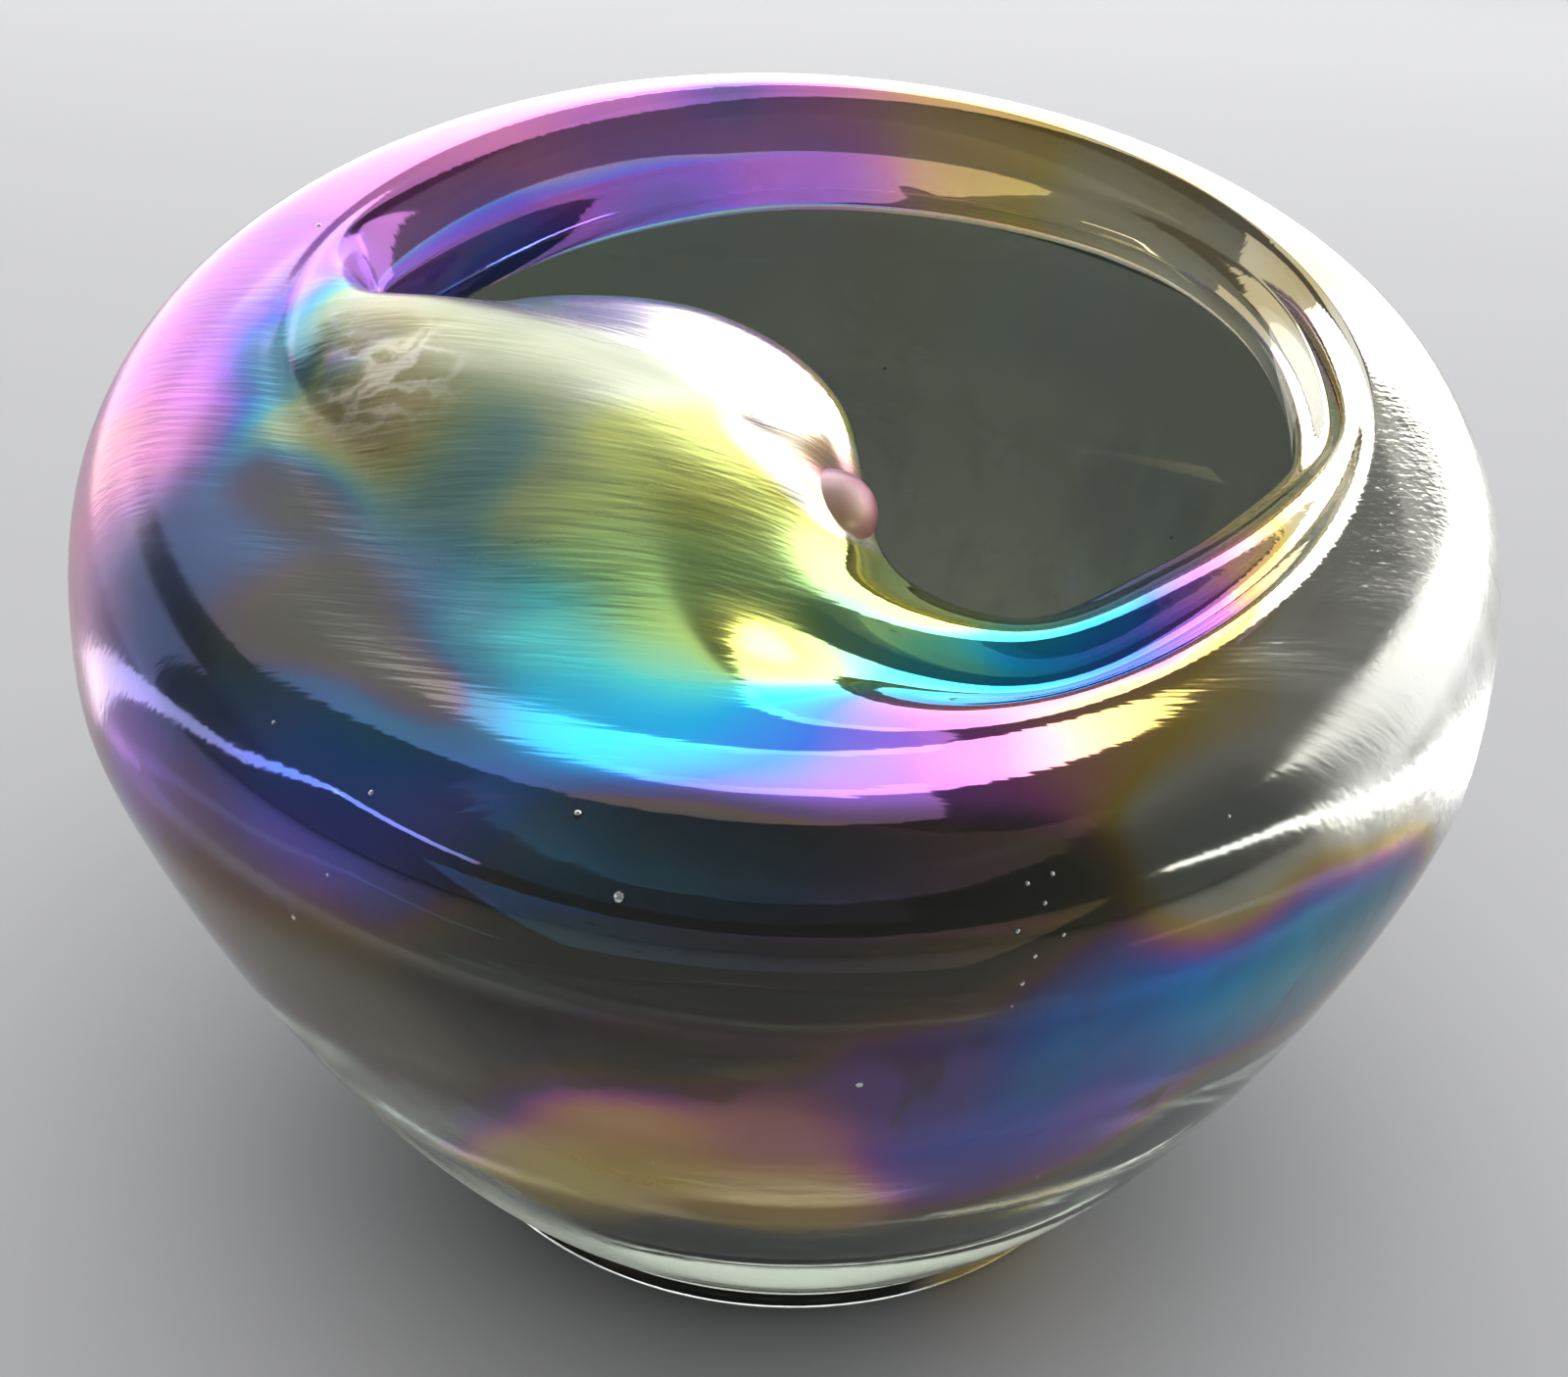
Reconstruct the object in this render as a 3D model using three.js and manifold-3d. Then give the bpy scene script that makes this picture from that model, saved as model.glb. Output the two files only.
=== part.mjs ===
// Free-blown art glass bowl with a folded-in whorl, in millimetres, +Z up.
// The bowl is a squat globe on a small clear foot. Its heavy rounded rim leans down towards -Y. On the left the rim
// is folded inwards as a broad smooth mound that ends in a pinched tip, so that the mouth is left comma-shaped.
// The origin is on the table, under the middle of the bowl.

import * as THREE from 'three';
import { ParametricGeometry } from 'three/addons/geometries/ParametricGeometry.js';
import { mergeVertices } from 'three/addons/utils/BufferGeometryUtils.js';
import Module from 'manifold-3d';

const GIRTH_RADIUS = 95;
const GIRTH_HEIGHT = 83;
const CREST_RADIUS = 71;
const CREST_SPREAD = 5;
const CREST_SPREAD_BEARING = Math.PI * 10 / 180;
const CREST_SPREAD_HALF_ANGLE = Math.PI * 55 / 180;
const CREST_HEIGHT = 120.2;
const RIM_TILT = 16;
const FOOT_RADIUS = 53;
const FOOT_HEIGHT = 4.75;
const FOOT_EDGE = 1.5;
const FOOT_SHIFT = 3;
const WALL = 9;
const BASE_THICKNESS = 13;
const RIM_THICKNESS = 14;
const LIP_RADIUS = 4.5;
const GAP = 0.3;

const SHOULDER_POWER = 0.63;
const RIM_START = Math.PI * 25 / 180;
const RIM_START_GAP = Math.PI / 180;

const FOLD_BEARING = Math.PI * 212 / 180;
const FOLD_HALF_ANGLE = Math.PI * 42 / 180;
const MOUND_RISE = 7;
const TRENCH_DEPTH = 3;
const TERRACE_BEARING = Math.PI * 298 / 180;
const TERRACE_HALF_ANGLE = Math.PI * 40 / 180;
const GROOVE_DEPTH = 5;
const SEAM_RADIUS = 66;

const AROUND = 60;
const CROWDING = 0.35;

// Each layer of glass is a surface: where it leaves the base, how far it reaches out and how it comes in to the rim.
const outerSkin = {
  girth: GIRTH_RADIUS, base: FOOT_RADIUS, floor: FOOT_HEIGHT + GAP, inset: 0, drop: 0, reach: 1.59, lift: 1.6,
};
const hollow = {
  girth: GIRTH_RADIUS - WALL, base: 18, floor: FOOT_HEIGHT + BASE_THICKNESS, inset: 2,
  drop: RIM_THICKNESS, reach: 1, lift: 1.6,
};

function layerBetween(side) {
  return {
    girth: GIRTH_RADIUS - WALL / 2 + side * GAP / 2,
    base: 34 + side * GAP / 2,
    floor: FOOT_HEIGHT + BASE_THICKNESS * 0.45 - side * GAP / 2,
    inset: 1 - side * GAP / 2,
    drop: RIM_THICKNESS / 2 - side * GAP / 2,
    reach: 1.25,
    lift: 1.6,
  };
}

// Bearings crowd together round the fold, where the outline of the mouth turns fastest.
function bearing(u) {
  const turn = 2 * Math.PI * u;
  return turn - CROWDING * Math.sin(turn - FOLD_BEARING);
}

function bump(x, middle, width) {
  return Math.exp(-(((x - middle) / width) ** 2));
}

function bumpRound(theta, middle, width) {
  const apart = Math.atan2(Math.sin(theta - middle), Math.cos(theta - middle));
  return bump(apart, 0, width);
}

function rimPlane(y) {
  return CREST_HEIGHT + RIM_TILT * y / CREST_RADIUS;
}

// The crest of the rim spreads outwards on the right, where the shoulder is narrower.
function crestRadius(theta) {
  return CREST_RADIUS + CREST_SPREAD * bumpRound(theta, CREST_SPREAD_BEARING, CREST_SPREAD_HALF_ANGLE);
}

function crestPoint(theta, inset) {
  const radius = crestRadius(theta) - inset;
  return new THREE.Vector2(radius * Math.cos(theta), radius * Math.sin(theta));
}

function steps(from, to, count) {
  return Array.from({ length: count }, (unused, i) => from + (to - from) * i / (count - 1));
}

// A point on the lower body of a layer: angle 0 is at the base, a quarter turn is at the girth.
function lowerPoint(layer, angle, theta) {
  const radius = layer.base + (layer.girth - layer.base) * Math.sin(angle) ** layer.reach;
  const climb = 1 - Math.cos(angle) ** layer.lift;
  const height = layer.floor + (GIRTH_HEIGHT - layer.floor) * climb;
  return new THREE.Vector3(
    FOOT_SHIFT * (1 - climb) + radius * Math.cos(theta), radius * Math.sin(theta), height);
}

// A point on the shoulder of a layer: angle 0 is at the girth, a quarter turn is at the crest of the rim.
function shoulderPoint(layer, angle, theta) {
  const crest = crestRadius(theta) - layer.inset;
  const radius = crest + (layer.girth - crest) * Math.cos(angle) ** SHOULDER_POWER;
  const crestHeight = rimPlane(crest * Math.sin(theta)) - layer.drop;
  const height = GIRTH_HEIGHT + (crestHeight - GIRTH_HEIGHT) * Math.sin(angle) ** SHOULDER_POWER;
  return new THREE.Vector3(radius * Math.cos(theta), radius * Math.sin(theta), height);
}

function basePole(layer) {
  return new THREE.Vector3(FOOT_SHIFT, 0, layer.floor);
}

// The edge of the mouth at equal bearings of the crest: x, y and the depth below the plane of the rim.
// It runs round the right and the back, narrows to a horn, turns back along the mound to the tip and returns.
const mouthEdge = new THREE.CatmullRomCurve3([
  [71, 0, 6], [68, 26, 5], [53, 47, 5], [28, 58, 5],
  [0, 60, 5], [-24, 52, 5], [-43, 40, 6], [-59, 23, 8],
  [-52, 15, 8], [-36, 22, 7], [-14, 21, 7], [3, 6, 8],
  [9, -21, 12], [29, -33, 12], [48, -23, 11], [63, -11, 9],
].map(([x, y, depth]) => new THREE.Vector3(x, y, depth)), true, 'catmullrom', 0.5);

function mouthTurn(theta) {
  const turn = theta / (2 * Math.PI);
  return turn - Math.floor(turn);
}

// How far the top of the rim lies below its plane, from the crest (across 0) to the edge of the mouth (across 1).
function topDepth(across, theta, edgeDepth) {
  const fold = bumpRound(theta, FOLD_BEARING, FOLD_HALF_ANGLE);
  const terrace = bumpRound(theta, TERRACE_BEARING, TERRACE_HALF_ANGLE);
  const ends = Math.sin(Math.PI * across);
  return edgeDepth * across ** 2
    + ends * (TRENCH_DEPTH * fold * bump(across, 0.14, 0.1) - MOUND_RISE * fold * bump(across, 0.55, 0.35))
    + ends * GROOVE_DEPTH * terrace * bump(across, 0.42, 0.22);
}

function sheetPoint(across, theta, inset, thickness) {
  const crest = crestPoint(theta, inset);
  const edge = mouthEdge.getPoint(mouthTurn(theta));
  const x = THREE.MathUtils.lerp(crest.x, edge.x, across);
  const y = THREE.MathUtils.lerp(crest.y, edge.y, across);
  return new THREE.Vector3(x, y, rimPlane(y) - topDepth(across, theta, edge.z) - thickness);
}

function topPoint(across, theta) {
  return sheetPoint(across, theta, 0, 0);
}

function undersidePoint(across, theta) {
  return sheetPoint(across, theta, hollow.inset, THREE.MathUtils.lerp(RIM_THICKNESS, 2 * LIP_RADIUS, across));
}

// The rounded edge of the mouth, from its top (turn 0) to its underside (turn pi).
function lipPoint(turn, theta) {
  const top = topPoint(1, theta);
  const along = mouthEdge.getTangent(mouthTurn(theta));
  const inwards = new THREE.Vector2(-along.y, along.x).normalize();
  const reach = LIP_RADIUS * Math.sin(turn);
  return new THREE.Vector3(
    top.x + inwards.x * reach, top.y + inwards.y * reach, top.z - LIP_RADIUS * (1 - Math.cos(turn)));
}

// A closed surface through rings of points, each ring a function of the bearing, from the lowest outer ring inwards.
function loft(rings) {
  const last = rings.length - 1;
  const surface = (u, v, target) => target.copy(rings[Math.min(last, Math.round(v * last))](bearing(u % 1)));
  const geometry = new ParametricGeometry(surface, AROUND, last);
  geometry.deleteAttribute('normal');
  geometry.deleteAttribute('uv');
  return withoutSlivers(mergeVertices(geometry, 1e-3));
}

// A ring that has shrunk to a point leaves triangles with two equal corners, which are dropped.
function withoutSlivers(geometry) {
  const index = geometry.index.array;
  const kept = [];
  for (let i = 0; i < index.length; i += 3) {
    const [a, b, c] = [index[i], index[i + 1], index[i + 2]];
    if (a !== b && b !== c && c !== a) kept.push(a, b, c);
  }
  geometry.setIndex(kept);
  return geometry;
}

// A cup of glass between two layers, open at the top and closed round its edge.
function cupBetween(outside, inside) {
  const quarter = Math.PI / 2;
  const lower = steps(0, quarter, 8);
  const upper = steps(0, RIM_START - RIM_START_GAP, 3).slice(1);
  const up = (layer) => [
    () => basePole(layer),
    ...lower.map((angle) => (theta) => lowerPoint(layer, angle, theta)),
    ...upper.map((angle) => (theta) => shoulderPoint(layer, angle, theta)),
  ];
  return loft([...up(outside), ...up(inside).reverse()]);
}

// The whole top of the bowl: shoulder, crest, folded-in sheet, rounded lip and underside.
function rimRing() {
  const quarter = Math.PI / 2;
  return loft([
    ...steps(RIM_START, quarter, 6).map((angle) => (theta) => shoulderPoint(outerSkin, angle, theta)),
    ...steps(0, 1, 9).slice(1).map((across) => (theta) => topPoint(across, theta)),
    ...steps(0, Math.PI, 5).slice(1, -1).map((turn) => (theta) => lipPoint(turn, theta)),
    ...steps(1, 0, 7).map((across) => (theta) => undersidePoint(across, theta)),
    ...steps(quarter, RIM_START, 4).slice(1).map((angle) => (theta) => shoulderPoint(hollow, angle, theta)),
    (theta) => shoulderPoint(outerSkin, RIM_START, theta),
  ]);
}

const wasm = await Module();
wasm.setup();

function toSolid(geometry) {
  return new wasm.Manifold(new wasm.Mesh({
    numProp: 3,
    vertProperties: Float32Array.from(geometry.attributes.position.array),
    triVerts: Uint32Array.from(geometry.index.array),
  }));
}

function toGeometry(solid) {
  const mesh = solid.getMesh();
  const geometry = new THREE.BufferGeometry();
  geometry.setAttribute('position', new THREE.BufferAttribute(mesh.vertProperties, 3));
  geometry.setIndex(new THREE.BufferAttribute(mesh.triVerts, 1));
  return geometry;
}

function closed(geometry) {
  geometry.deleteAttribute('normal');
  geometry.deleteAttribute('uv');
  return withoutSlivers(mergeVertices(geometry, 1e-3));
}

// An upright prism over the folded-in mound. It is bounded by the trench inside the left rim, by a line across the
// near terrace to the tip, and by the open mouth. The margin draws every side inwards.
function foldPrism(margin) {
  const radius = SEAM_RADIUS - margin;
  const outline = new THREE.Shape();
  outline.absarc(0, 0, radius, Math.PI * 163 / 180, Math.PI * 261 / 180, false);
  outline.lineTo(17 - margin, -17);
  outline.lineTo(24, 5);
  outline.lineTo(6, 40);
  outline.lineTo(-36, 34);
  outline.lineTo(-50, 25);
  const prism = new THREE.ExtrudeGeometry(outline, { depth: 80, bevelEnabled: false, curveSegments: 20 });
  prism.translate(0, 0, 80);
  return toSolid(closed(prism));
}

// The pinched end of the fold: a small round knob that stands a little proud of the mound.
function knob(margin) {
  const ball = new THREE.SphereGeometry(1, 16, 10);
  const tip = topPoint(0.92, Math.PI * 262 / 180);
  ball.scale(6.5 + margin, 7.5 + margin, 5 + margin);
  ball.rotateX(-0.3);
  ball.translate(tip.x, tip.y, tip.z - 1.5);
  return toSolid(closed(ball));
}

function footPad() {
  const profile = [
    [0, 0],
    [FOOT_RADIUS - FOOT_EDGE, 0],
    [FOOT_RADIUS - FOOT_EDGE * 0.3, FOOT_EDGE * 0.3],
    [FOOT_RADIUS, FOOT_EDGE],
    [FOOT_RADIUS, FOOT_HEIGHT],
    [0, FOOT_HEIGHT],
  ].map(([radius, height]) => new THREE.Vector2(radius, height));
  const pad = new THREE.LatheGeometry(profile, 48);
  pad.rotateX(Math.PI / 2);
  pad.translate(FOOT_SHIFT, 0, 0);
  return closed(pad);
}

const bowl = new THREE.Group();

function addPiece(name, geometry, color, roughness) {
  const material = new THREE.MeshStandardMaterial({ color, roughness, metalness: 0 });
  geometry.computeVertexNormals();
  const mesh = new THREE.Mesh(geometry, material);
  mesh.name = name;
  bowl.add(mesh);
}

const ring = toSolid(rimRing());
const knobRoom = knob(GAP);
const fold = ring.intersect(foldPrism(GAP)).subtract(knobRoom);
const rim = ring.subtract(foldPrism(0)).subtract(knobRoom);

addPiece('foot_pad', footPad(), '#c9d2cc', 0.06);
addPiece('clear_casing', cupBetween(outerSkin, layerBetween(1)), '#8f9792', 0.05);
addPiece('inner_gather', cupBetween(layerBetween(-1), hollow), '#56654f', 0.12);
addPiece('rolled_rim', toGeometry(rim), '#b39ac9', 0.1);
addPiece('whorl_fold', toGeometry(fold), '#a7a56a', 0.25);
addPiece('fold_tip', toGeometry(knob(0)), '#c98fa2', 0.2);

export default bowl;
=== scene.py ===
"""Free-blown iridised glass bowl with a folded-in whorl: the looks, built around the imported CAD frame."""

import math
import random

import bpy
import numpy as np
from mathutils import Matrix, Vector


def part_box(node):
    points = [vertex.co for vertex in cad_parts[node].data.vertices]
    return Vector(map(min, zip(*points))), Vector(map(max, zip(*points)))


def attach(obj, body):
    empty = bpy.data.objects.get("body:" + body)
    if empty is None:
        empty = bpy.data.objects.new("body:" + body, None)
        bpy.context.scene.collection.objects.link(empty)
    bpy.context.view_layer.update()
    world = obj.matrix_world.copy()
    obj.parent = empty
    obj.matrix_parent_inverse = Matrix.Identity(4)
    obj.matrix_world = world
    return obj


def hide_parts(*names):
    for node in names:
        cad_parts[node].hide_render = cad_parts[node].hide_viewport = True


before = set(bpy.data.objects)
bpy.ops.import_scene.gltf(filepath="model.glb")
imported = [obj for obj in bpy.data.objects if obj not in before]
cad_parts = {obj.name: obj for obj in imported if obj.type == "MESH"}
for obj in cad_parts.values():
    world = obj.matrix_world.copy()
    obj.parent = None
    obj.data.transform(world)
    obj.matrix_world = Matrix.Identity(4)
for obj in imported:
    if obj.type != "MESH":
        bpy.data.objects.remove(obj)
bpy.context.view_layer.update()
MM = 0.001
TAU = 2 * math.pi
QUARTER = math.pi / 2

# Driving sizes of the glass, in millimetres, as in the CAD model.
GIRTH_RADIUS = 95
GIRTH_HEIGHT = 83
CREST_RADIUS = 71
CREST_SPREAD = 5
CREST_SPREAD_BEARING = math.radians(10)
CREST_SPREAD_HALF_ANGLE = math.radians(55)
CREST_HEIGHT = 120.2
RIM_TILT = 16
FOOT_RADIUS = 53
FOOT_HEIGHT = 4.75
FOOT_SHIFT = 3
WALL = 9
BASE_THICKNESS = 13
RIM_THICKNESS = 14
LIP_RADIUS = 4.5
SHOULDER_POWER = 0.63
FOLD_BEARING = math.radians(212)
FOLD_HALF_ANGLE = math.radians(42)
MOUND_RISE = 7
TRENCH_DEPTH = 3
TERRACE_BEARING = math.radians(298)
TERRACE_HALF_ANGLE = math.radians(40)
GROOVE_DEPTH = 5
CROWDING = 0.35
AROUND = 96

# The parts that the skin of the glass is cut into, and how far the fold's part reaches each way from its bearing.
FOOT_PART, CASING_PART, RIM_PART, FOLD_PART, HOLLOW_PART = range(5)
FOLD_PART_HALF_ANGLE = math.radians(50)

# The two surfaces of the wall: radius at the girth and at the base, height of the base, how far the crest is set
# in and dropped, and the powers that shape the curve from the base to the girth.
OUTER = {"girth": GIRTH_RADIUS, "base": FOOT_RADIUS, "floor": FOOT_HEIGHT, "inset": 0, "drop": 0,
         "reach": 1.59, "lift": 1.6}
HOLLOW = {"girth": GIRTH_RADIUS - WALL, "base": 18, "floor": FOOT_HEIGHT + BASE_THICKNESS,
          "inset": 2, "drop": RIM_THICKNESS, "reach": 1, "lift": 1.6}

# The underside of the foot and its rounded edge: radius and height.
FOOT_PROFILE = [(0, 0.5), (24, 0.4), (44, 0.1), (49.5, 0), (52, 0), (53, 0.9), (FOOT_RADIUS, 3.4)]

# The edge of the mouth at equal bearings of the crest: x, y and depth below the plane of the rim.
MOUTH_EDGE = [
    (71, 0, 6), (68, 26, 5), (53, 47, 5), (28, 58, 5),
    (0, 60, 5), (-24, 52, 5), (-43, 40, 6), (-59, 23, 8),
    (-52, 15, 8), (-36, 22, 7), (-14, 21, 7), (3, 6, 8),
    (9, -21, 12), (29, -33, 12), (48, -23, 11), (63, -11, 9),
]

# Where the features of the top lie between the crest (0) and the mouth (1): middle and width.
TRENCH_ACROSS = (0.14, 0.1)
MOUND_ACROSS = (0.55, 0.35)
GROOVE_ACROSS = (0.42, 0.22)


# ---------------------------------------------------------------- camera, lights and floor

CAMERA_DISTANCE = 0.3145
CAMERA_ELEVATION = math.radians(31)
CAMERA_ROLL = 0.056
CAMERA_TARGET = Vector((0.0007, 0, 0.0693))
CAMERA_LENS = 50.4
CAMERA_SENSOR = 36


def make_camera():
    data = bpy.data.cameras.new("camera")
    data.lens = CAMERA_LENS
    data.sensor_width = CAMERA_SENSOR
    camera = bpy.data.objects.new("camera", data)
    back = Vector((0, -math.cos(CAMERA_ELEVATION), math.sin(CAMERA_ELEVATION)))
    turn = back.to_track_quat("Z", "Y").to_matrix().to_4x4()
    roll = Matrix.Rotation(CAMERA_ROLL, 4, "Z")
    camera.matrix_world = Matrix.Translation(CAMERA_TARGET + CAMERA_DISTANCE * back) @ turn @ roll
    bpy.context.scene.collection.objects.link(camera)
    bpy.context.scene.camera = camera


def softbox(name, start, end, height, aim, radiance):
    """A white rectangular lamp whose width runs from start to end and whose face is turned to aim."""
    start, end = Vector(start), Vector(end)
    middle = (start + end) / 2
    across = (end - start).normalized()
    back = (middle - Vector(aim)).normalized()
    back = (back - across * back.dot(across)).normalized()
    up = back.cross(across)
    data = bpy.data.lights.new(name, "AREA")
    data.shape = "RECTANGLE"
    data.size = (end - start).length
    data.size_y = height
    data.energy = radiance * math.pi * data.size * height
    lamp = bpy.data.objects.new(name, data)
    lamp.matrix_world = Matrix.Translation(middle) @ Matrix((across, up, back)).transposed().to_4x4()
    lamp.visible_camera = False
    bpy.context.scene.collection.objects.link(lamp)
    return lamp


BOWL_MIDDLE = (0, 0, 0.1)

# The large lamps, in metres: name, two ends of the width, height, what the face is turned to, and radiance.
SOFTBOXES = [
    ("back_light", (-1.25, 0.8, 0.48), (1.25, 0.8, 0.48), 0.92, (0, 0, 0.48), 2.6),
    ("left_light", (-1.25, 0.1, 0.48), (-1.25, 0.79, 0.48), 0.92, (0, 0, 0.48), 0.7),
    ("right_light", (1.3, 0.0, 0.76), (1.0, 0.78, 0.76), 1.5, (0, 0, 0.76), 1.5),
    ("high_light", (-0.8, 0.55, 1.1), (0.1, 0.75, 1.1), 0.45, BOWL_MIDDLE, 0.9),
]
OVERHEAD = ("overhead_light", (-0.6, -0.3, 1.4), (0.6, -0.3, 1.4), 1.2, BOWL_MIDDLE, 3.0)

# Thin strips that the sides of the glass mirror as slanting bands: name, radiance and the path of the strip.
STRIPS = [
    ("left", 2.4, [(-0.19, 0.06, 0.01), (-0.30, -0.12, 0.15), (-0.31, -0.19, 0.29), (-0.30, -0.39, 0.32)]),
    ("right", 4.5, [(0.175, 0.08, 0.01), (0.30, -0.05, 0.05), (0.30, -0.15, 0.16), (0.30, -0.25, 0.23)]),
]
STRIP_HEIGHT = 0.022


def make_lights():
    for lamp in SOFTBOXES:
        softbox(*lamp)
    softbox(*OVERHEAD).visible_glossy = False
    for name, radiance, path in STRIPS:
        for k, (start, end) in enumerate(zip(path, path[1:])):
            strip = softbox(f"{name}_strip_{k + 1}", start, end, STRIP_HEIGHT, BOWL_MIDDLE, radiance)
            strip.visible_diffuse = False
    world = bpy.data.worlds.new("studio")
    world.use_nodes = True
    background = world.node_tree.nodes["Background"].inputs
    background["Color"].default_value = (0.5, 0.51, 0.53, 1)
    background["Strength"].default_value = 0.3
    bpy.context.scene.world = world


FLOOR_REACH = 3.0


def make_floor():
    mesh = bpy.data.meshes.new("floor")
    corners = [(FLOOR_REACH * x, FLOOR_REACH * y, 0) for x, y in ((-1, -1), (1, -1), (1, 1), (-1, 1))]
    mesh.from_pydata(corners, [], [(0, 1, 2, 3)])
    floor = bpy.data.objects.new("floor", mesh)
    bpy.context.scene.collection.objects.link(floor)
    material = bpy.data.materials.new("floor")
    material.use_nodes = True
    surface = material.node_tree.nodes["Principled BSDF"]
    surface.inputs["Base Color"].default_value = (0.44, 0.44, 0.45, 1)
    surface.inputs["Roughness"].default_value = 0.9
    surface.inputs["Specular IOR Level"].default_value = 0.1
    mesh.materials.append(material)


# ---------------------------------------------------------------- shape of the glass

def bearing(u):
    turn = TAU * u
    return turn - CROWDING * math.sin(turn - FOLD_BEARING)


def bump(x, middle, width):
    return math.exp(-(((x - middle) / width) ** 2))


def bump_round(theta, middle, width):
    apart = math.atan2(math.sin(theta - middle), math.cos(theta - middle))
    return bump(apart, 0, width)


def crest_radius(theta):
    return CREST_RADIUS + CREST_SPREAD * bump_round(theta, CREST_SPREAD_BEARING, CREST_SPREAD_HALF_ANGLE)


def rim_plane(y):
    return CREST_HEIGHT + RIM_TILT * y / CREST_RADIUS


def steps(start, end, count):
    return [start + (end - start) * i / (count - 1) for i in range(count)]


def lower_point(layer, angle, theta):
    radius = layer["base"] + (layer["girth"] - layer["base"]) * math.sin(angle) ** layer["reach"]
    climb = 1 - max(0, math.cos(angle)) ** layer["lift"]
    height = layer["floor"] + (GIRTH_HEIGHT - layer["floor"]) * climb
    return Vector((FOOT_SHIFT * (1 - climb) + radius * math.cos(theta), radius * math.sin(theta), height))


def shoulder_point(layer, angle, theta):
    crest = crest_radius(theta) - layer["inset"]
    radius = crest + (layer["girth"] - crest) * max(0, math.cos(angle)) ** SHOULDER_POWER
    crest_height = rim_plane(crest * math.sin(theta)) - layer["drop"]
    height = GIRTH_HEIGHT + (crest_height - GIRTH_HEIGHT) * math.sin(angle) ** SHOULDER_POWER
    return Vector((radius * math.cos(theta), radius * math.sin(theta), height))


def mouth_edge(theta):
    """The point on the closed curve through MOUTH_EDGE at this bearing, and the way along it."""
    turn = (theta / TAU) % 1 * len(MOUTH_EDGE)
    first = int(turn) % len(MOUTH_EDGE)
    t = turn - int(turn)
    p0, p1, p2, p3 = (Vector(MOUTH_EDGE[(first + k) % len(MOUTH_EDGE)]) for k in (-1, 0, 1, 2))
    a = 2 * p1
    b = p2 - p0
    c = 2 * p0 - 5 * p1 + 4 * p2 - p3
    d = 3 * p1 - p0 - 3 * p2 + p3
    point = (a + b * t + c * t ** 2 + d * t ** 3) / 2
    along = (b + 2 * c * t + 3 * d * t ** 2) / 2
    return point, along


def top_depth(across, theta, edge_depth):
    fold = bump_round(theta, FOLD_BEARING, FOLD_HALF_ANGLE)
    terrace = bump_round(theta, TERRACE_BEARING, TERRACE_HALF_ANGLE)
    ends = math.sin(math.pi * across)
    mound = TRENCH_DEPTH * bump(across, *TRENCH_ACROSS) - MOUND_RISE * bump(across, *MOUND_ACROSS)
    groove = GROOVE_DEPTH * bump(across, *GROOVE_ACROSS)
    return edge_depth * across ** 2 + ends * (fold * mound + terrace * groove)


def sheet_point(across, theta, inset, thickness):
    radius = crest_radius(theta) - inset
    edge, _ = mouth_edge(theta)
    x = radius * math.cos(theta) * (1 - across) + edge.x * across
    y = radius * math.sin(theta) * (1 - across) + edge.y * across
    return Vector((x, y, rim_plane(y) - top_depth(across, theta, edge.z) - thickness))


def top_point(across, theta):
    return sheet_point(across, theta, 0, 0)


def underside_point(across, theta):
    return sheet_point(across, theta, HOLLOW["inset"], RIM_THICKNESS + (2 * LIP_RADIUS - RIM_THICKNESS) * across)


def lip_point(turn, theta):
    top = top_point(1, theta)
    _, along = mouth_edge(theta)
    inwards = Vector((-along.y, along.x, 0)).normalized()
    return top + inwards * (LIP_RADIUS * math.sin(turn)) - Vector((0, 0, LIP_RADIUS * (1 - math.cos(turn))))


def foot_point(radius, height, theta):
    return Vector((FOOT_SHIFT + radius * math.cos(theta), radius * math.sin(theta), height))


def glass_rings():
    """Rings of the whole surface of the glass, each with the part of it that ends there: from the middle
    of the foot out, up the casing, over the rim and down the hollow."""
    rings = [(FOOT_PART, lambda t, r=r, h=h: foot_point(r, h, t)) for r, h in FOOT_PROFILE]
    rings += [(CASING_PART, lambda t, a=a: lower_point(OUTER, a, t)) for a in steps(0.05, QUARTER, 10)]
    rings += [(CASING_PART, lambda t, a=a: shoulder_point(OUTER, a, t)) for a in steps(0.12, QUARTER, 9)]
    rings += [(RIM_PART, lambda t, w=w: top_point(w, t)) for w in steps(0, 1, 19)[1:]]
    rings += [(RIM_PART, lambda t, a=a: lip_point(a, t)) for a in steps(0, math.pi, 5)[1:-1]]
    rings += [(HOLLOW_PART, lambda t, w=w: underside_point(w, t)) for w in steps(1, 0.04, 7)]
    rings += [(HOLLOW_PART, lambda t, a=a: shoulder_point(HOLLOW, a, t)) for a in steps(QUARTER - 0.2, 0.12, 4)]
    rings += [(HOLLOW_PART, lambda t, a=a: lower_point(HOLLOW, a, t)) for a in steps(QUARTER, 0.0, 8)]
    rings += [(HOLLOW_PART, lambda t, r=r: foot_point(r, HOLLOW["floor"], t)) for r in (9, 0)]
    return rings


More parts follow.
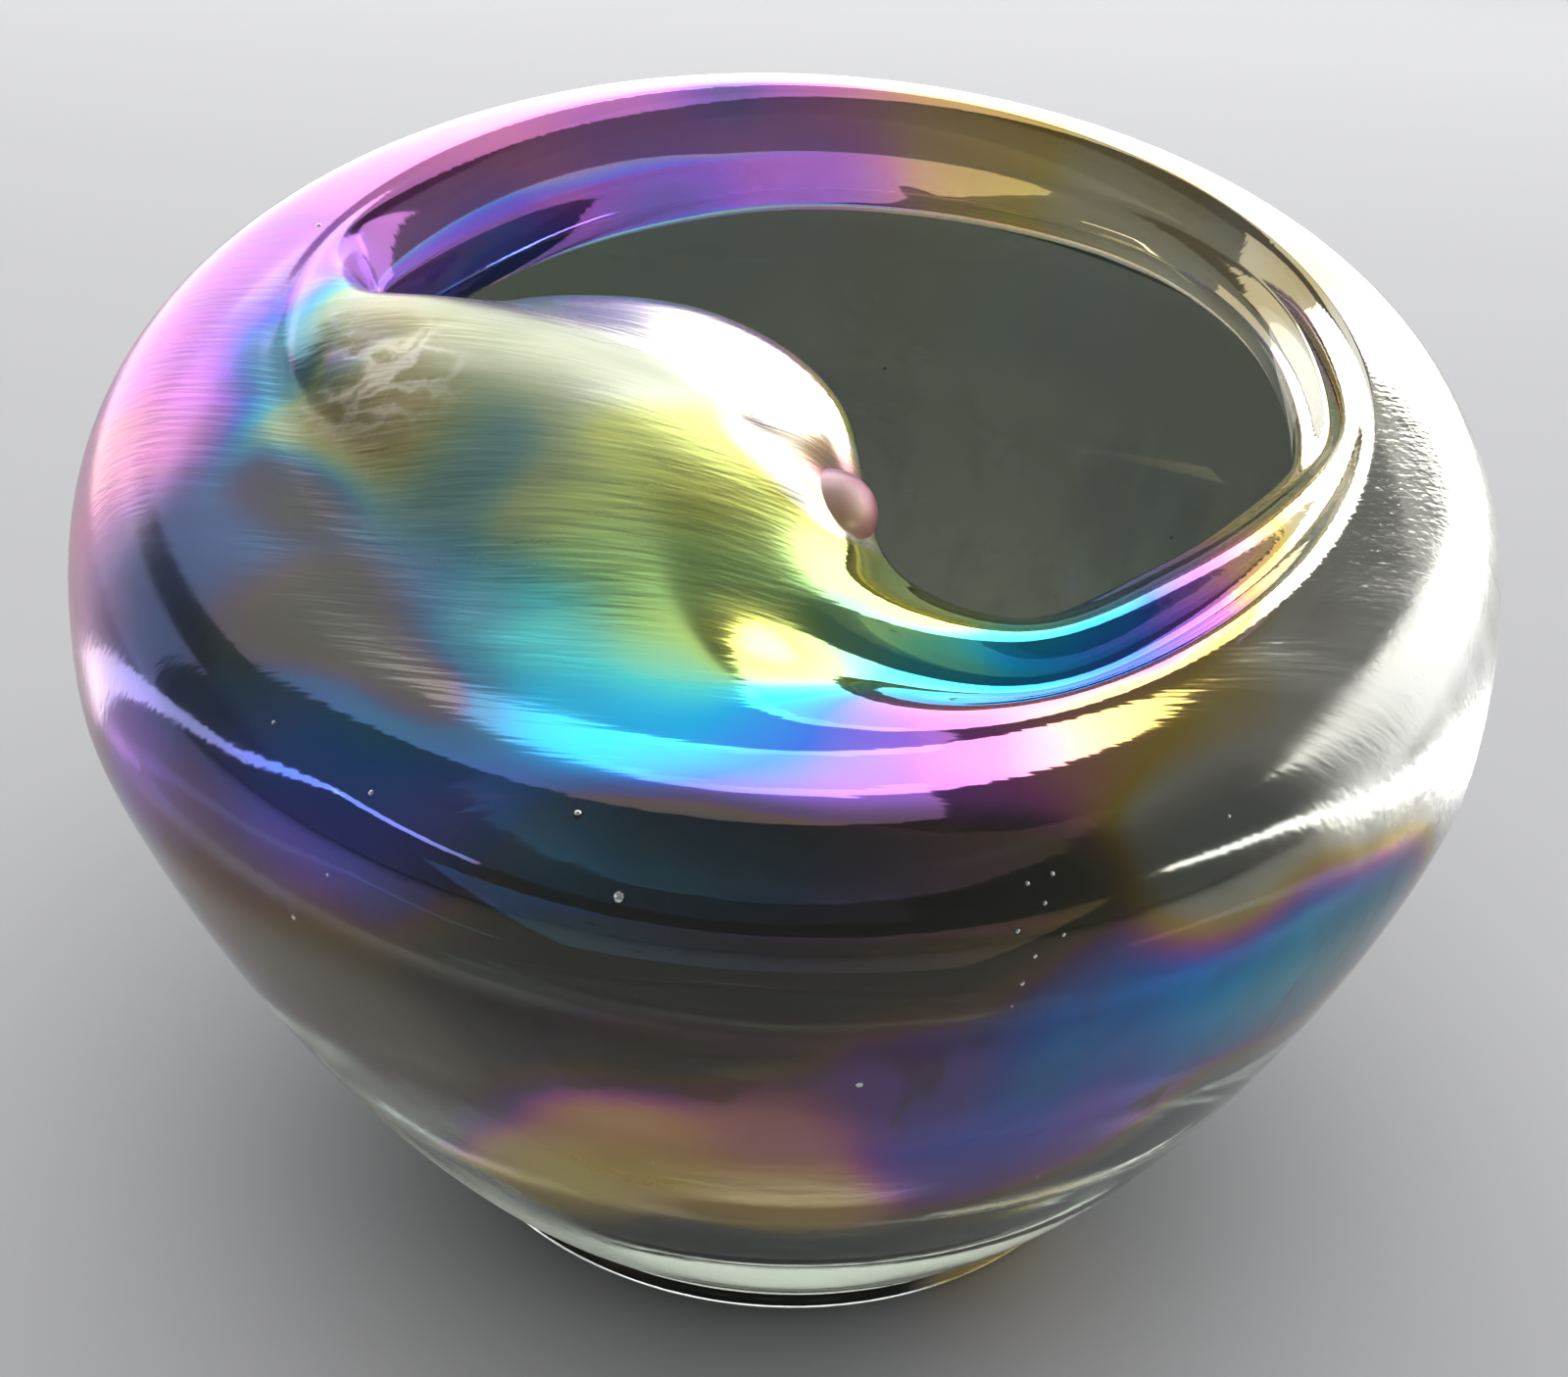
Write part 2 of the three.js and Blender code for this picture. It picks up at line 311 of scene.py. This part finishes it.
def skin_mesh(name, rings):
    """A closed mesh through rings of points, each a function of the bearing. The first and last are points."""
    bearings = [bearing(i / AROUND) for i in range(AROUND)]
    points, faces, parts, rows = [], [], [], []
    for k, (_, ring) in enumerate(rings):
        pole = k in (0, len(rings) - 1)
        row = [ring(t) * MM for t in (bearings[:1] if pole else bearings)]
        rows.append(range(len(points), len(points) + len(row)))
        points += row
    for lower, upper, (part, _) in zip(rows, rows[1:], rings[1:]):
        for i in range(AROUND):
            j = (i + 1) % AROUND
            below = [lower[k % len(lower)] for k in (i, j)]
            above = [upper[k % len(upper)] for k in (j, i)]
            faces.append(list(dict.fromkeys(below + above)))
            in_fold = math.cos(bearings[i] - FOLD_BEARING) > math.cos(FOLD_PART_HALF_ANGLE)
            parts.append(FOLD_PART if part == RIM_PART and in_fold else part)
    mesh = bpy.data.meshes.new(name)
    mesh.from_pydata(points, [], faces)
    mesh.polygons.foreach_set("material_index", parts)
    mesh.update()
    return mesh


def subdivided(mesh, levels):
    """The mesh with its Catmull-Clark subdivision applied and smooth shading."""
    piece = bpy.data.objects.new(mesh.name, mesh)
    bpy.context.scene.collection.objects.link(piece)
    modifier = piece.modifiers.new("smooth", "SUBSURF")
    modifier.levels = modifier.render_levels = levels
    evaluated = piece.evaluated_get(bpy.context.evaluated_depsgraph_get())
    fine = bpy.data.meshes.new_from_object(evaluated)
    bpy.data.objects.remove(piece)
    bpy.data.meshes.remove(mesh)
    fine.polygons.foreach_set("use_smooth", [True] * len(fine.polygons))
    return fine


def add_piece(name, mesh, material, replaces=()):
    mesh.name = name
    mesh.materials.append(material)
    piece = bpy.data.objects.new(name, mesh)
    bpy.context.scene.collection.objects.link(piece)
    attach(piece, "root")
    if replaces:
        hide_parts(*replaces)
    return piece


# ---------------------------------------------------------------- materials

class Nodes:
    """A small helper that adds and links shader nodes."""

    def __init__(self, name):
        self.material = bpy.data.materials.new(name)
        self.material.use_nodes = True
        self.tree = self.material.node_tree
        self.surface = self.tree.nodes["Principled BSDF"]
        self.place = self.add("ShaderNodeTexCoord").outputs["Object"]

    def add(self, kind, **settings):
        node = self.tree.nodes.new(kind)
        for key, value in settings.items():
            setattr(node, key, value)
        return node

    def feed(self, socket, value):
        if isinstance(value, bpy.types.NodeSocket):
            self.tree.links.new(value, socket)
        else:
            socket.default_value = value

    def math(self, operation, first, second=0.0, third=0.0):
        node = self.add("ShaderNodeMath", operation=operation)
        for socket, value in zip(node.inputs, (first, second, third)):
            self.feed(socket, value)
        return node.outputs[0]

    def axis(self, name):
        split = self.add("ShaderNodeSeparateXYZ")
        self.feed(split.inputs[0], self.place)
        return split.outputs[name]

    def noise(self, scale, detail=3.0, stretch=(1, 1, 1), distortion=0.0, turn=0.0):
        mapping = self.add("ShaderNodeMapping")
        self.feed(mapping.inputs["Vector"], self.place)
        mapping.inputs["Rotation"].default_value = (0, 0, turn)
        mapping.inputs["Scale"].default_value = stretch
        node = self.add("ShaderNodeTexNoise")
        self.feed(node.inputs["Vector"], mapping.outputs[0])
        node.inputs["Scale"].default_value = scale
        node.inputs["Detail"].default_value = detail
        node.inputs["Distortion"].default_value = distortion
        return node.outputs["Fac"]

    def own(self, name):
        """A value that the mesh carries at its vertices."""
        return self.add("ShaderNodeAttribute", attribute_name=name).outputs["Fac"]

    def range(self, value, low, high, to_low, to_high, kind="SMOOTHSTEP"):
        node = self.add("ShaderNodeMapRange", interpolation_type=kind)
        for name, number in (("Value", value), ("From Min", low), ("From Max", high),
                             ("To Min", to_low), ("To Max", to_high)):
            self.feed(node.inputs[name], number)
        return node.outputs[0]

    def mixed(self, share, first, second):
        """A number between first and second."""
        node = self.add("ShaderNodeMix", data_type="FLOAT")
        for index, value in ((0, share), (2, first), (3, second)):
            self.feed(node.inputs[index], value)
        return node.outputs[0]

    def cracks(self, scale):
        """1 along fine wandering lines, 0 between them."""
        warp = self.add("ShaderNodeTexNoise")
        self.feed(warp.inputs["Vector"], self.place)
        warp.inputs["Scale"].default_value = scale * 0.8
        warp.inputs["Detail"].default_value = 5
        shifted = self.add("ShaderNodeVectorMath", operation="MULTIPLY_ADD")
        self.feed(shifted.inputs[0], warp.outputs["Color"])
        shifted.inputs[1].default_value = [2.2 / scale] * 3
        self.feed(shifted.inputs[2], self.place)
        node = self.add("ShaderNodeTexVoronoi", feature="DISTANCE_TO_EDGE")
        self.feed(node.inputs["Vector"], shifted.outputs[0])
        node.inputs["Scale"].default_value = scale
        return self.range(node.outputs["Distance"], 0.0, 0.16, 1.0, 0.0)

    def blob(self, centre, radius):
        """1 at a centre given in millimetres, falling smoothly to 0 at the radius."""
        apart = self.add("ShaderNodeVectorMath", operation="DISTANCE")
        self.feed(apart.inputs[0], self.place)
        apart.inputs[1].default_value = [c * MM for c in centre]
        return self.range(apart.outputs["Value"], 0, radius * MM, 1, 0)

    def ramp(self, value, stops):
        node = self.add("ShaderNodeValToRGB")
        self.feed(node.inputs[0], value)
        elements = node.color_ramp.elements
        while len(elements) < len(stops):
            elements.new(1)
        for element, (position, colour) in zip(elements, stops):
            element.position = position
            element.color = (*colour, 1)
        return node.outputs["Color"]

    def mix(self, share, first, second):
        """A colour between first and second."""
        node = self.add("ShaderNodeMix", data_type="RGBA")
        self.feed(node.inputs["Factor"], share)
        for index, colour in ((6, first), (7, second)):
            self.feed(node.inputs[index], colour if isinstance(colour, bpy.types.NodeSocket) else (*colour, 1))
        return node.outputs[2]

    def bump(self, height, strength, distance):
        node = self.add("ShaderNodeBump")
        node.inputs["Strength"].default_value = strength
        node.inputs["Distance"].default_value = distance
        self.feed(node.inputs["Height"], height)
        return node.outputs[0]


# Colours of the thin lustre film on the glass, by its thickness in nanometres.
FILM_LEAST = 60
FILM_MOST = 340
FILM_COLOURS = [
    (FILM_LEAST, (0.92, 0.93, 0.92)), (92, (0.95, 0.92, 0.76)), (107, (0.93, 0.68, 0.14)),
    (120, (0.95, 0.48, 0.32)), (132, (0.78, 0.22, 0.62)), (144, (0.38, 0.16, 0.88)), (156, (0.06, 0.22, 0.95)),
    (170, (0.02, 0.50, 0.92)), (186, (0.10, 0.78, 0.72)), (200, (0.50, 0.85, 0.25)), (214, (0.86, 0.84, 0.14)),
    (224, (0.95, 0.93, 0.74)), (236, (0.96, 0.95, 0.92)), (248, (0.92, 0.70, 0.52)), (262, (0.85, 0.38, 0.55)),
    (285, (0.45, 0.25, 0.75)), (310, (0.10, 0.45, 0.70)), (FILM_MOST, (0.20, 0.60, 0.40)),
]

# The values that the mesh carries for the glass material.
FINISH = ("film", "mirror", "satin")

# The finish away from every named place: film in the middle, its change with each millimetre of x, mirror, satin.
PLAIN_OUTSIDE = (147, -1.3, 0.05, 0.03)
PLAIN_INSIDE = (240, -1.9, 0.13, 0.03)
PLAIN_WEIGHT = 0.02

# Small swellings (rise over 0) and pinches (under 0) at the two ends of the mound: x, y, z, reach and rise.
MOUND_SWELLS = [(5, -18, 107, 9, 2.2), (-4, -6, 115, 5, -0.7), (-60, 8, 116, 6, 0.8), (-57, 16, 114, 4, -0.8)]

# Spots on the glass, each a centre and a reach: crackled film, pebbled satin, creased glass, and painted shade
# (the glass's colour darkened on the front).
CRACKLE_SPOT = (-52, -14, 120), 15
PEBBLE_SPOT = (92, -25, 95), 55
CREASE_SPOT = (-60, 12, 116), 18
PAINTED_SHADE_SPOT = (5, -84, 106), 55

# Which way the satin is brushed, and the heights between which the lustre goes from ragged to whole.
BRUSH_TURN = math.radians(-24)
RAGGED_BELOW = 80
WHOLE_ABOVE = 92

GLASS_IOR = 1.5
BARE_FILM_IOR = 1.53
FILM_IOR = 2.0

# Places on the top of the bowl: x, y, depth below the plane of the rim, reach, film thickness in nanometres,
# how much of it is mirror, and how satin it is.
TOP_FINISH = [
    # the far rim, from left to right, with its lower edge
    (-62, 38, 2, 13, 134, 0.45, 0.10), (-46, 52, 3, 13, 131, 0.60, 0.06), (-45, 38, 10, 8, 156, 0.55, 0.05),
    (-24, 62, 2, 12, 134, 0.55, 0.05), (-14, 68, 2, 6, 146, 0.25, 0.05), (-22, 50, 10, 8, 154, 0.50, 0.05),
    (2, 66, 2, 13, 130, 0.50, 0.05),
    (4, 57, 9, 8, 150, 0.45, 0.05), (25, 65, 3, 13, 112, 0.50, 0.05), (50, 54, 3, 13, 104, 0.45, 0.05),
    (67, 33, 3, 13, 100, 0.45, 0.05), (77, 4, 4, 13, 84, 0.70, 0.05), (78, -22, 4, 11, 78, 0.75, 0.07),
    # the left shoulder
    (-74, 14, 3, 11, 140, 0.45, 0.20), (-80, -6, 4, 11, 132, 0.45, 0.25), (-84, -26, 8, 11, 122, 0.35, 0.25),
    (-72, -44, 6, 11, 151, 0.20, 0.18), (-60, -62, 6, 12, 154, 0.10, 0.10),
    # the trench round the left of the mound
    (-65, -4, 5, 7, 200, 0.07, 0.10), (-60, -31, 5, 7, 178, 0.05, 0.10), (-50, -55, 5, 8, 178, 0.04, 0.12),
    (-36, -68, 3, 8, 170, 0.05, 0.08),
    # the mound
    (-52, -2, -2, 8, 246, 0.30, 0.28), (-52, -22, -3, 9, 244, 0.22, 0.30), (-40, -8, -6, 11, 232, 0.18, 0.36),
    (-38, -30, -5, 11, 222, 0.12, 0.36), (-38, 14, 2, 7, 234, 0.30, 0.25), (-26, 13, 0, 8, 236, 0.90, 0.20),
    (-14, 11, 1, 8, 236, 0.95, 0.18), (-3, 4, 3, 8, 236, 0.90, 0.14), (-24, -6, -5, 9, 234, 0.30, 0.32),
    (-17, -21, -5, 8, 214, 0.50, 0.30), (-8, -28, -2, 8, 214, 0.70, 0.26), (-22, -38, -4, 8, 208, 0.50, 0.28),
    (-4, -38, 1, 8, 206, 0.70, 0.20), (-14, -48, 0, 7, 202, 0.70, 0.20), (-2, -52, 2, 7, 222, 0.75, 0.10),
    (-26, -54, 0, 8, 184, 0.45, 0.24), (-38, -50, 0, 8, 182, 0.15, 0.25), (-12, -58, 1, 6, 192, 0.70, 0.14),
    # the end of the fold, beside its tip
    (5, -14, 8, 7, 262, 0.75, 0.28), (-2, -12, 6, 5, 240, 0.40, 0.16),
    # the near ring, from left to right
    (-24, -67, 2, 7, 176, 0.55, 0.14), (-12, -67, 2, 7, 171, 0.75, 0.06), (0, -68, 2, 7, 160, 0.80, 0.03),
    (11, -70, 2, 7, 149, 0.80, 0.03), (21, -70, 2, 7, 138, 0.80, 0.03), (31, -69, 2, 7, 126, 0.80, 0.03),
    (41, -66, 2, 7, 113, 0.80, 0.03), (51, -60, 2, 7, 104, 0.80, 0.03), (61, -46, 3, 8, 94, 0.75, 0.03),
    (69, -31, 4, 8, 88, 0.75, 0.03), (64, -14, 6, 8, 104, 0.60, 0.03),
    # the terraces inside it
    (9, -46, 7, 6, 196, 0.60, 0.03), (19, -50, 7, 6, 182, 0.70, 0.03), (30, -51, 7, 6, 166, 0.75, 0.03),
    (41, -48, 7, 6, 156, 0.75, 0.03), (51, -42, 7, 6, 142, 0.70, 0.03),
    (11, -31, 11, 6, 208, 0.65, 0.03), (19, -36, 11, 6, 216, 0.75, 0.03), (30, -39, 11, 6, 184, 0.80, 0.03),
    (39, -35, 11, 6, 166, 0.80, 0.03), (47, -29, 10, 6, 148, 0.75, 0.03), (56, -24, 9, 6, 134, 0.65, 0.03),
]

# Places on the body, with their height above the floor instead of a depth.
BODY_FINISH = [
    # gold, violet and blue lustre low on the front
    (-25, -78, 47, 8, 108, 0.60, 0.25), (-11, -87, 58, 9, 109, 0.75, 0.25), (4, -85, 52, 8, 110, 0.65, 0.25),
    (2, -89, 67, 7, 122, 0.40, 0.25), (18, -92, 76, 8, 145, 0.30, 0.20), (24, -86, 60, 8, 147, 0.45, 0.20),
    (35, -83, 64, 8, 153, 0.45, 0.20), (34, -89, 80, 9, 165, 0.36, 0.20), (46, -83, 80, 9, 170, 0.42, 0.20),
    (58, -75, 83, 9, 175, 0.36, 0.20), (68, -64, 80, 9, 182, 0.25, 0.20), (38, -42, 4, 7, 108, 0.50, 0.20),
    # painted light: a pale, faintly mirrored patch low on the left that stands for brighter refracted light there
    (-38, -62, 28, 10, 76, 0.30, 0.30), (-25, -60, 18, 9, 72, 0.25, 0.30),
    # dull colours on the left
    (-62, -70, 86, 11, 136, 0.14, 0.20), (-46, -82, 76, 10, 116, 0.12, 0.20), (-43, -75, 58, 10, 158, 0.12, 0.20),
    (-84, -42, 94, 11, 126, 0.35, 0.22), (-71, -62, 93, 9, 142, 0.55, 0.10), (-56, -75, 100, 9, 147, 0.55, 0.06),
    (-40, -82, 101, 9, 150, 0.50, 0.04), (-88, -20, 100, 12, 118, 0.40, 0.25), (-85, 5, 108, 12, 130, 0.40, 0.25),
    # silver on the right shoulder
    (90, -16, 102, 14, 72, 0.60, 0.38), (82, -38, 102, 13, 70, 0.60, 0.38), (66, -60, 102, 11, 72, 0.45, 0.28),
    (50, -77, 100, 9, 74, 0.25, 0.10),
    # plain glass between them
    (-8, -94, 92, 12, 150, 0.05, 0.04), (-30, -88, 90, 11, 150, 0.05, 0.04), (20, -91, 96, 12, 140, 0.05, 0.04),
    (0, -70, 25, 12, 100, 0.04, 0.04),
]


def vertex_values(vertices, name):
    """One row of three numbers for each vertex."""
    values = np.empty(len(vertices) * 3)
    vertices.foreach_get(name, values)
    return values.reshape(-1, 3)


def finish_at(points, places, plain):
    """Film, mirror and satin at each point in millimetres: a smooth blend of the places round it."""
    places = np.array(places, float)
    total = np.full((len(points), 1), PLAIN_WEIGHT)
    blend = total * plain
    for x, y, z, reach, *finish in places:
        near = np.exp(-np.sum((points - (x, y, z)) ** 2, axis=1, keepdims=True) / reach ** 2)
        total += near
        blend += near * finish
    return blend / total


def plain_finish(points, film, slope, mirror, satin):
    across = points[:, :1]
    return np.hstack([film + slope * across, np.full_like(across, mirror), np.full_like(across, satin)])


def add_finish(mesh):
    """Gives each vertex its film, mirror and satin as attributes that the glass material reads."""
    points = vertex_values(mesh.vertices, "co") / MM
    top = [(x, y, rim_plane(y) - depth, *rest) for x, y, depth, *rest in TOP_FINISH]
    outside = finish_at(points, top + BODY_FINISH, plain_finish(points, *PLAIN_OUTSIDE))
    inside = plain_finish(points, *PLAIN_INSIDE)
    inside[:, 0] = np.clip(inside[:, 0], FILM_LEAST, FILM_MOST)
    is_inner = np.zeros(len(points), bool)
    for face in mesh.polygons:
        if face.material_index == HOLLOW_PART:
            is_inner[list(face.vertices)] = True
    finish = np.where(is_inner[:, None], inside, outside)
    for column, name in enumerate(FINISH):
        mesh.attributes.new(name, "FLOAT", "POINT").data.foreach_set("value", finish[:, column])


def lustre_glass(name, glass_tint):
    """Smoky glass with a lustre film whose thickness, mirror and satin come from the mesh; the tint is the
    glass's smoke, for the hollow darkened further as painted shade.
    """
    n = Nodes(name)
    surface = n.surface.inputs
    surface["Transmission Weight"].default_value = 1.0
    surface["IOR"].default_value = GLASS_IOR
    film, mirror, satin = (n.own(word) for word in FINISH)
    wander = n.math("MULTIPLY_ADD", n.noise(22, 2, (1, 1, 1), 0.6), 26.0, -13.0)
    film = n.math("ADD", film, wander)
    n.feed(surface["Thin Film Thickness"], film)
    n.feed(surface["Thin Film IOR"], n.range(mirror, 0.04, 0.20, BARE_FILM_IOR, FILM_IOR))
    share = n.range(film, FILM_LEAST, FILM_MOST, 0.0, 1.0, "LINEAR")
    span = FILM_MOST - FILM_LEAST
    colour = n.ramp(share, [((nm - FILM_LEAST) / span, shade) for nm, shade in FILM_COLOURS])
    streaks = n.noise(210, 5, (0.16, 1.0, 0.35), 0.5, BRUSH_TURN)
    brushed = n.math("MULTIPLY_ADD", streaks, n.math("MULTIPLY", satin, 2.4),
                     n.math("MULTIPLY_ADD", satin, -1.2, 1.0))
    mirror = n.math("MULTIPLY", mirror, brushed)
    ragged = n.noise(150, 5, (1, 1, 0.16), 0.3)
    torn = n.math("MULTIPLY_ADD", n.math("SUBTRACT", ragged, 0.5), 0.9, mirror)
    feather = n.range(torn, 0.10, 0.26, 0.15, 1.0)
    low = n.range(n.axis("Z"), RAGGED_BELOW * MM, WHOLE_ABOVE * MM, 1.0, 0.0)
    mirror = n.math("MULTIPLY", mirror, n.mixed(low, 1.0, feather))
    cracks = n.math("MULTIPLY", n.cracks(130), n.blob(*CRACKLE_SPOT))
    mirror = n.math("MULTIPLY_ADD", cracks, 0.3, mirror)
    n.feed(surface["Metallic"], mirror)
    # painted shade: the glass's colour is darkened towards black in a patch on the front, below the near rim
    depth = n.math("MULTIPLY_ADD", n.blob(*PAINTED_SHADE_SPOT), -0.62, 1.0)
    clear = n.ramp(n.noise(12, 3), [(0.3, glass_tint), (0.7, [c * 1.25 for c in glass_tint])])
    clear = n.mix(n.range(n.axis("Z"), 0.012, 0.080, 0.0, 1.0), [c * 2.3 for c in glass_tint], clear)
    clear = n.mix(depth, (0, 0, 0), clear)
    n.feed(surface["Base Color"], n.mix(n.range(mirror, 0.10, 0.50, 0.0, 1.0), clear, colour))
    n.feed(surface["Roughness"], n.math("MULTIPLY", satin, n.math("MULTIPLY_ADD", streaks, 0.8, 0.6)))
    peel = n.math("MULTIPLY", n.noise(1000, 1), n.math("MULTIPLY", n.blob(*PEBBLE_SPOT), 0.45))
    peel = n.math("ADD", peel, n.math("MULTIPLY", n.noise(190, 3), n.blob(*CREASE_SPOT)))
    scratches = n.math("MULTIPLY", n.noise(1100, 1, (0.09, 1.0, 0.5), 0.0, BRUSH_TURN), satin)
    n.feed(surface["Normal"], n.bump(n.math("ADD", peel, scratches), 0.3, 0.0006))
    return n.material


# ---------------------------------------------------------------- pieces

def swell_mound(mesh):
    """Swells and pinches the two ends of the mound."""
    points = vertex_values(mesh.vertices, "co") / MM
    normals = vertex_values(mesh.vertices, "normal")
    for x, y, z, reach, rise in MOUND_SWELLS:
        near = np.exp(-np.sum((points - (x, y, z)) ** 2, axis=1, keepdims=True) / reach ** 2)
        points += normals * near * rise
    mesh.vertices.foreach_set("co", (points * MM).ravel())
    mesh.update()


def part_mesh(whole, part):
    """The faces of one part of the whole skin, shaded with the normals of the whole."""
    faces = [list(face.vertices) for face in whole.polygons if face.material_index == part]
    used = sorted({corner for face in faces for corner in face})
    place = {corner: k for k, corner in enumerate(used)}
    own_faces = [[place[corner] for corner in face] for face in faces]
    mesh = bpy.data.meshes.new("part")
    mesh.from_pydata(vertex_values(whole.vertices, "co")[used], [], own_faces)
    for name in FINISH:
        values = np.empty(len(whole.vertices))
        whole.attributes[name].data.foreach_get("value", values)
        mesh.attributes.new(name, "FLOAT", "POINT").data.foreach_set("value", values[used])
    mesh.polygons.foreach_set("use_smooth", [True] * len(faces))
    mesh.normals_split_custom_set_from_vertices(vertex_values(whole.vertices, "normal")[used])
    mesh.update()
    return mesh


SMOKY = (0.155, 0.175, 0.145)
FOOT_SMOKE = (0.42, 0.46, 0.43)
# The inner skin's tint: the glass's smoke, darkened well below the casing's as painted shade so the inside of the
# bowl reads dark.
HOLLOW_SMOKE_AND_SHADE = (0.080, 0.092, 0.068)


def make_glass():
    """The glass of the bowl: one closed skin, cut where the CAD's pieces meet."""
    whole = subdivided(skin_mesh("bowl_glass", glass_rings()), 2)
    swell_mound(whole)
    add_finish(whole)
    pieces = {}
    for part, name, glass_tint, slot, node in (
            (FOOT_PART, "foot_glass", FOOT_SMOKE, "clear_glass", "foot_pad"),
            (CASING_PART, "casing_glass", SMOKY, "clear_glass", "clear_casing"),
            (RIM_PART, "rim_glass", SMOKY, "iridised_rim", "rolled_rim"),
            (FOLD_PART, "fold_glass", SMOKY, "satin_fold", "whorl_fold"),
            (HOLLOW_PART, "gather_glass", HOLLOW_SMOKE_AND_SHADE, "iridised_glass", "inner_gather")):
        pieces[name] = add_piece(name, part_mesh(whole, part), lustre_glass(name, glass_tint), (node,))
    bpy.data.meshes.remove(whole)
    return pieces


def ball_mesh(name, balls, segments=16, rows=10):
    """One mesh of closed ellipsoids, each a centre and three half sizes in metres."""
    points, faces = [], []
    for centre, half in balls:
        start = len(points)
        for row in range(rows + 1):
            slope = math.pi * row / rows
            count = 1 if row in (0, rows) else segments
            for i in range(count):
                turn = TAU * i / segments
                level = math.sin(slope)
                away = Vector((level * math.cos(turn), level * math.sin(turn), math.cos(slope)))
                points.append(Vector(centre) + Vector(c * h for c, h in zip(away, half)))
        first = [start] + [start + 1 + segments * row for row in range(rows - 1)] + [len(points) - 1]
        for i in range(segments):
            j = (i + 1) % segments
            faces.append((first[0], first[1] + i, first[1] + j))
            for upper, lower in zip(first[1:-1], first[2:-1]):
                faces.append((upper + i, lower + i, lower + j, upper + j))
            faces.append((first[-1], first[-2] + j, first[-2] + i))
    mesh = bpy.data.meshes.new(name)
    mesh.from_pydata(points, [], faces)
    mesh.polygons.foreach_set("use_smooth", [True] * len(faces))
    mesh.update()
    return mesh


# Colours of the tip of the fold, from its near side to its far side, and how far grain shifts them in metres.
TIP_COLOURS = [
    (0.10, (0.90, 0.84, 0.40)), (0.35, (0.95, 0.72, 0.62)), (0.60, (0.88, 0.56, 0.66)), (0.9, (0.72, 0.30, 0.62)),
]
TIP_GRAIN = 0.002


def make_fold_tip():
    """The pinched end of the fold: a satin knob of glass, yellow to rose, where the CAD has its node."""
    low, high = (Vector(corner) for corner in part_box("fold_tip"))
    mesh = ball_mesh("tip_glass", [((low + high) / 2, (high - low) / 2)], 48, 32)
    n = Nodes("satin_fold")
    surface = n.surface.inputs
    surface["Transmission Weight"].default_value = 1.0
    surface["Metallic"].default_value = 0.45
    grain = n.noise(300, 5, (0.3, 1, 1), 0.4)
    height = n.math("MULTIPLY_ADD", grain, TIP_GRAIN, n.axis("Y"))
    share = n.range(height, low.y, high.y, 0.0, 1.0, "LINEAR")
    n.feed(surface["Base Color"], n.ramp(share, TIP_COLOURS))
    n.feed(surface["Roughness"], n.range(grain, 0.3, 0.7, 0.38, 0.58))
    n.feed(surface["Normal"], n.bump(grain, 0.15, 0.0005))
    add_piece("tip_glass", mesh, n.material, ("fold_tip",))


# The larger air bubbles near the skin of the glass: x, y, z and radius.
BUBBLES = [
    (11, -93, 77, 0.65), (-15, -92, 99, 0.75), (-47, -66, 46, 0.55), (-51, -80, 85, 0.45), (-42, -80, 102, 0.4),
    (-20, -85, 108, 0.5), (-66, 24, 126, 0.55), (27, -91, 90, 0.35), (28, -90, 93, 0.3), (26, -90, 96, 0.35),
    (29, -89, 99, 0.3), (27, -88, 101, 0.3), (31, -89, 95, 0.3), (30, -88, 103, 0.3),
]

# The finer ones, strewn all round: how many, and the least and most height and radius.
SEEDS = 34
SEED_HEIGHTS = (30, 112)
SEED_RADII = (0.15, 0.3)

# How far a bubble is sunk below the skin and how much it is drawn out, as shares of its radius.
BUBBLE_SINK = 0.75
BUBBLE_STRETCH = 1.1


def make_bubbles(casing):
    """Air bubbles just under the skin of the casing, as one mesh of small bright balls."""
    draw = random.Random(7)
    places = [(Vector(place) * MM, radius * MM) for *place, radius in BUBBLES]
    for _ in range(SEEDS):
        turn = draw.uniform(0, TAU)
        height = draw.uniform(*SEED_HEIGHTS)
        place = Vector((GIRTH_RADIUS * math.cos(turn), GIRTH_RADIUS * math.sin(turn), height))
        places.append((place * MM, draw.uniform(*SEED_RADII) * MM))
    balls = []
    for place, radius in places:
        _, spot, normal, _ = casing.closest_point_on_mesh(place)
        balls.append((spot - normal * radius * BUBBLE_SINK, (radius, radius, radius * BUBBLE_STRETCH)))
    n = Nodes("seed_silver")
    surface = n.surface.inputs
    surface["Metallic"].default_value = 0.9
    silver = n.ramp(n.noise(900, 2), [(0.35, (0.55, 0.60, 0.58)), (0.65, (0.92, 0.94, 0.93))])
    n.feed(surface["Base Color"], silver)
    n.feed(surface["Roughness"], n.range(n.noise(500, 2), 0.3, 0.7, 0.05, 0.2))
    add_piece("seed_bubbles", ball_mesh("seed_bubbles", balls, 12, 8), n.material)


# ---------------------------------------------------------------- build

make_camera()
make_lights()
make_floor()
glass = make_glass()
make_fold_tip()
make_bubbles(glass["casing_glass"])

bpy.context.scene.view_settings.view_transform = "Standard"
